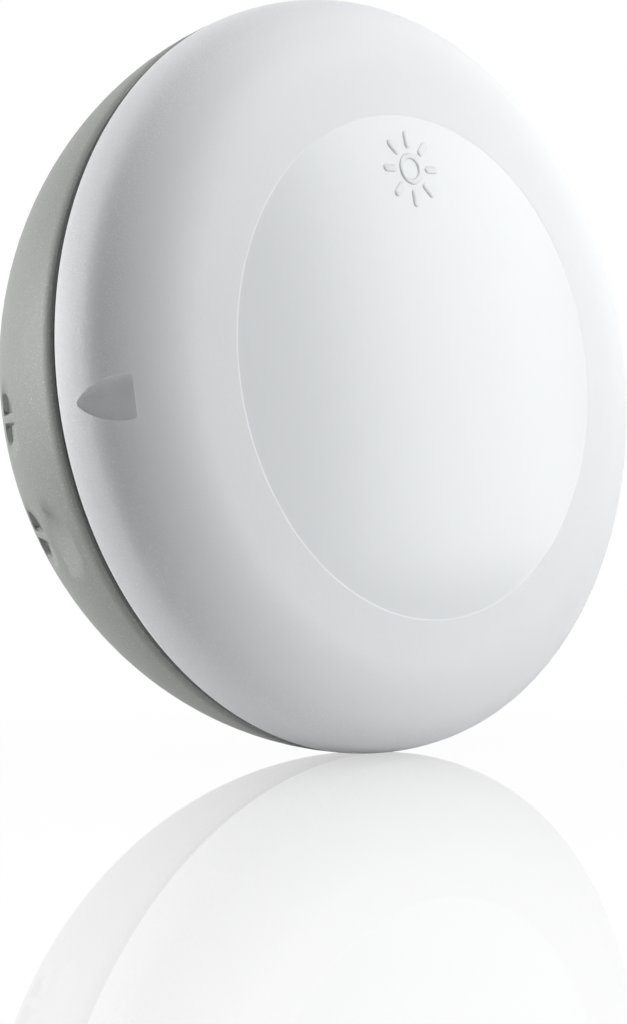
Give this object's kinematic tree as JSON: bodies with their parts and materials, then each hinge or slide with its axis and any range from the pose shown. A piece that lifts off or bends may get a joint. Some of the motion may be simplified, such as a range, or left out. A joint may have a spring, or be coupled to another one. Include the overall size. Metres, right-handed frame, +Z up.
{
  "type": "sun sensor",
  "caption": "Round battery-powered sun sensor for a wall, with a grey base and a milky bayonet cover with a polished window.",
  "frame": {"origin": "centre of the flat back that rests on the wall", "axes": "+Y into the wall, +Z up the wall, +X to the right seen from the front; the front faces -Y"},
  "size_m": [0.097, 0.0326, 0.097],
  "materials": {
    "base_plastic": "satin silver-grey moulded plastic",
    "cover_plastic": "milky translucent plastic, fine spark-eroded grain round a polished window",
    "seal_rubber": "soft dark seal",
    "board": "glass fibre board with green lacquer",
    "tinned_steel": "tinned steel",
    "black_plastic": "black moulded plastic",
    "white_plastic": "white moulded plastic",
    "cell_steel": "printed sleeve over a steel can",
    "clear_epoxy": "clear epoxy",
    "copper_wire": "copper wire",
    "blue_plastic": "blue moulded plastic",
    "red_epoxy": "red epoxy",
    "chip_ceramic": "fired ceramic with tinned ends"
  },
  "bodies": {
    "base": {"wall_base": "base_plastic", "circuit_board": "board", "board_screws": "tinned_steel", "battery_holder": "black_plastic", "upper_cell": "cell_steel", "lower_cell": "cell_steel", "contact_springs": "tinned_steel", "contact_plates": "tinned_steel", "sensor_stand": "white_plastic", "light_sensor": "clear_epoxy", "status_led": "red_epoxy", "prog_switch": "black_plastic", "prog_switch_plate": "tinned_steel", "threshold_trimmer": "blue_plastic", "radio_board": "board", "shield_can": "tinned_steel", "antenna": "copper_wire", "microcontroller": "black_plastic", "crystal": "tinned_steel", "reservoir_capacitor": "black_plastic", "chip_parts": "chip_ceramic"},
    "cover": {"front_cover": "cover_plastic", "seal_ring": "seal_rubber"},
    "button": {"prog_button": "white_plastic"},
    "dial": {"threshold_dial": "white_plastic"}
  },
  "joints": [
    {"name": "cover_twist", "type": "hinge", "parent": "base", "child": "cover", "pos_m": [0, 0, 0], "axis": [0, -1, 0], "range_deg": [0, 18]},
    {"name": "prog_press", "type": "slide", "parent": "base", "child": "button", "axis": [0, 1, 0], "range_m": [0, 0.0005], "stiffness_N_per_m": 2000, "springref_m": -0.0002},
    {"name": "threshold_turn", "type": "hinge", "parent": "base", "child": "dial", "pos_m": [0.0168, -0.0136, 0.0168], "axis": [0, -1, 0], "range_deg": [-135, 135]}
  ]
}
